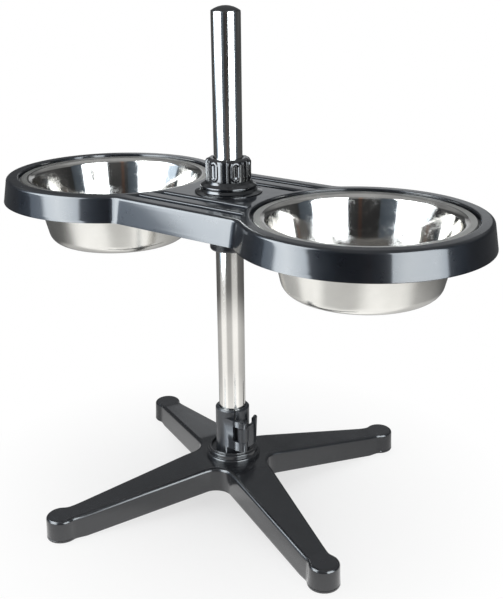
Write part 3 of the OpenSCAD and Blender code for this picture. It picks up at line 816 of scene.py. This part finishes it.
def bowl_finish(name, centre, dark, light, smooth, dull, lines_deep, haze):
    """Spun steel: fine lines round the bowl, wiped haze and slight waves from the press."""
    material, shader, put = empty_finish(name)
    place = put("TexCoord", {}).outputs["Object"]
    off_centre = {"Vector": place, "Location": (-centre * MM, 0, 0)}
    centred = put("Mapping", off_centre).outputs["Vector"]
    axes = put("SeparateXYZ", {0: centred}).outputs
    flat = put("CombineXYZ", {"X": axes["X"], "Y": axes["Y"]}).outputs[0]
    radius = put("VectorMath", {0: flat}, operation="LENGTH").outputs["Value"]
    section = put("CombineXYZ", {"X": radius, "Y": axes["Z"]}).outputs[0]
    spun = noise(put, section, 2600.0, 3.0, 0.7)
    cloud = noise(put, centred, 22.0, 5.0, 0.6)
    wiped = noise(put, centred, 34.0, 6.0, 0.65)
    polish = between(put, spun, 0.3, 0.7, smooth, dull)
    smear = between(put, wiped, 0.48, 0.72, 0.0, haze)
    rough = put("Math", {0: polish, 1: smear}, operation="ADD").outputs[0]
    waves = relief(put, noise(put, centred, 30.0, 1.0), press_wave)
    dress(shader, two_tone(put, cloud, dark, light, 0.3, 0.7), rough,
          relief(put, spun, lines_deep, waves), 1.0)
    return material


for centre, name in ((-bowl_at, "left"), (bowl_at, "right")):
    satin = bowl_finish(
        f"satin_{name}_bowl_steel", centre, (0.60, 0.59, 0.555), (0.68, 0.67, 0.635),
        smooth=0.16, dull=0.22, lines_deep=0.001, haze=0.05)
    brushed = bowl_finish(
        f"brushed_{name}_bowl_rim", centre, (0.62, 0.605, 0.565), (0.72, 0.705, 0.66),
        smooth=0.26, dull=0.36, lines_deep=0.001, haze=0.08)
    bright = bowl_finish(
        f"bright_{name}_bowl_steel", centre, (0.48, 0.465, 0.445), (0.68, 0.655, 0.615),
        smooth=0.05, dull=0.1, lines_deep=0.0006, haze=0.28)
    shells = [revolve(line, bowl_sides, centre)
              for line in (bowl_outside, bowl_rim, bowl_inside)]
    bowl = make_piece(f"{name}_bowl", shells, [satin, brushed, bright], [0, 1, 2])
    fit(bowl, f"{name}_bowl", f"bowl_{name}")

# Studio: a pale floor, a tall softbox close on the left, a broad one further off on the
# right and one high up behind the object. Gloss and metal see the softboxes as glowing
# sheets, a pale wall on the far side, and a dark room with a narrow warm strip on the near.
view_right, view_near = Vector((0.813, 0.582, 0)), Vector((0.582, -0.813, 0))
spill_red, spill_green = (0.65, 0.25), (0.81, 0.15)
left_span, right_span = (0.04, 1.30), (0.04, 1.60)


def stand_up(start, end, low, high):
    """The corners of an upright sheet between two places (right, near)."""
    start, end = (view_right * place[0] + view_near * place[1] for place in (start, end))
    up = Vector((0, 0, 1))
    return [start + up * low, end + up * low, end + up * high, start + up * high]


def cool_cloth(level):
    """A softbox's colour: nearly white where it is bright, cooler where it is dim."""
    red, green = (share + gain * level for share, gain in (spill_red, spill_green))
    return level * red, level * green, level


def grey(level):
    return level, level, level


def levels(put, place, stops, tint=grey):
    """A colour along a ramp of (place, level) stops, which starts at 0 and ends at 1."""
    ramp = put("ValToRGB", {"Fac": place})
    spots = ramp.color_ramp.elements
    for spot, level in stops:
        stop = spots[0] if spot == 0 else spots[-1] if spot == 1 else spots.new(spot)
        stop.color = (*tint(level), 1)
    return ramp.outputs["Color"]


def reckon(put, operation, *values):
    return put("Math", dict(enumerate(values)), operation=operation).outputs[0]


def toward(put, heading, aim):
    """How far a direction points to an aim: 1 straight at it, -1 straight away."""
    return put("VectorMath", {0: heading, 1: aim}, operation="DOT_PRODUCT").outputs["Value"]


def softbox_glow(name, corners, glow, falloff, lean):
    """What gloss and metal see of a softbox: its bright cloth, and dim spill beside it."""
    mesh = bpy.data.meshes.new(name)
    mesh.from_pydata(corners, [], [(0, 1, 2, 3)])
    cloth = mesh.uv_layers.new(name="cloth")
    cloth.data.foreach_set("uv", [0, 0, 1, 0, 1, 1, 0, 1])
    material, _, put = empty_finish(name)
    spot = put("SeparateXYZ", {0: put("TexCoord", {}).outputs["UV"]}).outputs
    slant = between(put, spot["Y"], 0.245, 0.285, lean, 0.0)
    flare = between(put, spot["Y"], 0.3, 0.45, 0.0, 11.0 * lean)
    edge = between(put, spot["X"], 0.0, 0.5, 0.5, 0.0)
    across = reckon(put, "SUBTRACT", spot["X"], slant)
    across = reckon(put, "MULTIPLY_ADD", flare, edge, across)
    light = put("Emission", {"Color": levels(put, across, falloff, cool_cloth),
                             "Strength": between(put, spot["Y"], 0.0, 0.03, 0.25 * glow, glow)})
    wire(material.node_tree.nodes["Material Output"].inputs["Surface"], light.outputs[0])
    mesh.materials.append(material)
    panel = bring_in(name, mesh)
    panel.visible_camera = panel.visible_diffuse = panel.visible_shadow = False


def softbox_lamp(name, size, place, power):
    """A lamp that lights the object and its floor, but isn't mirrored."""
    lamp = bpy.data.lights.new(name, "AREA")
    lamp.shape = "RECTANGLE"
    lamp.size, lamp.size_y = size
    lamp.energy = power
    holder = bring_in(name, lamp)
    holder.location = place
    holder.visible_glossy = False
    return holder


def upright_lamp(name, corners, power):
    """A lamp as big as an upright sheet, facing the post."""
    centre = (corners[0] + corners[2]) / 2
    size = (corners[1] - corners[0]).length, (corners[3] - corners[0]).length
    aim = Vector((0, 0, centre.z)) - centre
    holder = softbox_lamp(name, size, centre, power)
    holder.rotation_euler = aim.to_track_quat("-Z", "Y").to_euler()


upright_lamp("left_softbox", stand_up((-0.93, -0.03), (-0.50, 0.67), *left_span), power=4.5)
left_falloff = ((0.0, 0.01), (0.171, 0.01), (0.188, 0.11), (0.335, 0.135), (0.386, 0.85),
                (0.51, 1.0), (0.702, 0.75), (0.737, 0.02), (0.85, 0.015), (1.0, 0.01))
softbox_glow("left_softbox_glow", stand_up((-1.06, -0.24), (-0.30, 1.00), *left_span),
             12.5, left_falloff, lean=0.056)
upright_lamp("right_softbox", stand_up((0.58, 1.56), (1.36, 0.67), *right_span), power=8.0)
right_falloff = ((0.0, 0.1), (0.02, 0.85), (0.2, 1.0), (0.533, 0.9), (0.647, 0.7),
                 (0.68, 0.02), (0.85, 0.015), (1.0, 0.01))
softbox_glow("right_softbox_glow", stand_up((0.58, 1.56), (1.75, 0.225), *right_span),
             11.0, right_falloff, lean=0.0)
overhead = view_near * -0.5 + Vector((0, 0, 1.75))
softbox_lamp("overhead_softbox", (1.3, 1.3), overhead, power=11.0)

# The floor: white to the camera but for the object's shadow. Gloss sees a painted glow on it:
# lit paper whose edge fades away, painted shade on the camera's side and painted pools of light.
floor_r, floor_corners = 1.15, 96
floor_mesh = bpy.data.meshes.new("floor")
floor_mesh.from_pydata(ring(floor_r, 0.0, floor_corners), [], [tuple(range(floor_corners))])
pale_floor, shader, put = empty_finish("pale_floor")
shader.inputs["Base Color"].default_value = (0.9, 0.9, 0.89, 1)
shader.inputs["Roughness"].default_value = 1.0
shader.inputs["Specular IOR Level"].default_value = 0.0
place = put("TexCoord", {}).outputs["Object"]
away = put("VectorMath", {0: place}, operation="LENGTH").outputs["Value"]
heading = put("VectorMath", {0: place}, operation="NORMALIZE").outputs["Vector"]
# Painted light for gloss: the paper glows brighter close to the object and fades where the paper
# ends.
paper_with_painted_light = reckon(put, "MULTIPLY", between(put, away, 0.08, 0.3, 1.5, 0.76),
               between(put, away, 0.52, 0.72, 1.0, 0.24))
# Painted shade: the floor's glow is dimmer on the camera's side.
shade = between(put, toward(put, heading, view_near), -1.0, 0.3, 0.6, 1.0)
paper_with_painted_light = reckon(put, "MULTIPLY", paper_with_painted_light, shade)
# Painted pools of light on the floor, under the left and the right softbox.
for aim in (view_right * -0.87 + view_near * 0.49, view_right * 0.62 + view_near * 0.78):
    painted_light_pool = between(put, toward(put, heading, aim), 0.84, 0.97, 0.0, 0.6, "SMOOTHSTEP")
    paper_with_painted_light = reckon(put, "ADD", paper_with_painted_light, painted_light_pool)
path = put("LightPath", {}).outputs
seen = reckon(put, "MAXIMUM", path["Is Camera Ray"], path["Is Glossy Ray"])
seen = reckon(put, "MAXIMUM", seen, path["Is Transmission Ray"])
white = put("Mix", {"Factor": path["Is Camera Ray"], "A": paper_with_painted_light, "B": 1.0}).outputs["Result"]
share = reckon(put, "MULTIPLY", seen, between(put, away, 0.05, 0.36, 0.66, 1.0))
glow = put("Emission", {"Strength": white}).outputs[0]
both = put("MixShader", {0: share, 1: shader.outputs[0], 2: glow}).outputs[0]
wire(pale_floor.node_tree.nodes["Material Output"].inputs["Surface"], both)
floor_mesh.materials.append(pale_floor)
floor = bring_in("floor", floor_mesh)

# The room: levels over the height of a direction, from straight down at 0 to up at 1.
room = bpy.data.worlds.new("studio_room")
bpy.context.scene.world = room
room.use_nodes = True
put = node_maker(room.node_tree)
heading = put("TexCoord", {}).outputs["Generated"]
rise = between(put, put("SeparateXYZ", {0: heading}).outputs["Z"], -1.0, 1.0, 0.0, 1.0)
nearness, sideways = toward(put, heading, view_near), toward(put, heading, view_right)
sheet = levels(put, rise, ((0.0, 0.0), (0.52, 0.0), (0.535, 0.65), (0.56, 0.65), (0.59, 0.52),
                           (0.63, 0.46), (0.641, 0.05), (1.0, 0.02)))
ceiling = levels(put, rise, ((0.0, 0.1), (0.5, 0.1), (0.53, 0.045), (0.64, 0.04), (0.71, 0.2),
                             (0.76, 0.33), (0.85, 0.27), (0.92, 0.5), (1.0, 0.5)))
off_middle = reckon(put, "ABSOLUTE", reckon(put, "SUBTRACT", sideways, 0.05))
far_wall = reckon(put, "MULTIPLY", between(put, nearness, -0.35, 0.15, 1.0, 0.0),
                  between(put, off_middle, 0.18, 0.24, 1.0, 0.1, "SMOOTHSTEP"))
level = reckon(put, "MULTIPLY_ADD", far_wall, sheet, ceiling)
beside = reckon(put, "ABSOLUTE", sideways)
warm_strip = reckon(put, "MULTIPLY", between(put, beside, 0.025, 0.05, 1.0, 0.0),
                    between(put, nearness, 0.7, 0.9, 0.0, 1.0))
tint = put("Mix", {"Factor": warm_strip, "A": (0.94, 0.97, 1.0, 1), "B": (1.6, 1.05, 0.85, 1)},
           data_type="RGBA").outputs["Result"]
dim = put("Background", {"Color": tint, "Strength": level}).outputs[0]
white = put("Background", {"Color": (1.0, 1.0, 1.0, 1), "Strength": 1.0}).outputs[0]
to_camera = put("LightPath", {}).outputs["Is Camera Ray"]
sky = put("MixShader", {0: to_camera, 1: dim, 2: white}).outputs[0]
wire(room.node_tree.nodes["World Output"].inputs["Surface"], sky)

lens = bpy.data.cameras.new("studio_camera")
lens.lens = 54.80
lens.sensor_width = 36.0
lens.shift_x, lens.shift_y = -0.0426, 0.01895
camera = bring_in("studio_camera", lens)
camera.location = (0.62907, -0.78556, 0.61521)
camera.rotation_euler = (math.radians(69.51), math.radians(-0.08), math.radians(35.62))
bpy.context.scene.camera = camera
bpy.context.scene.view_settings.view_transform = "Standard"
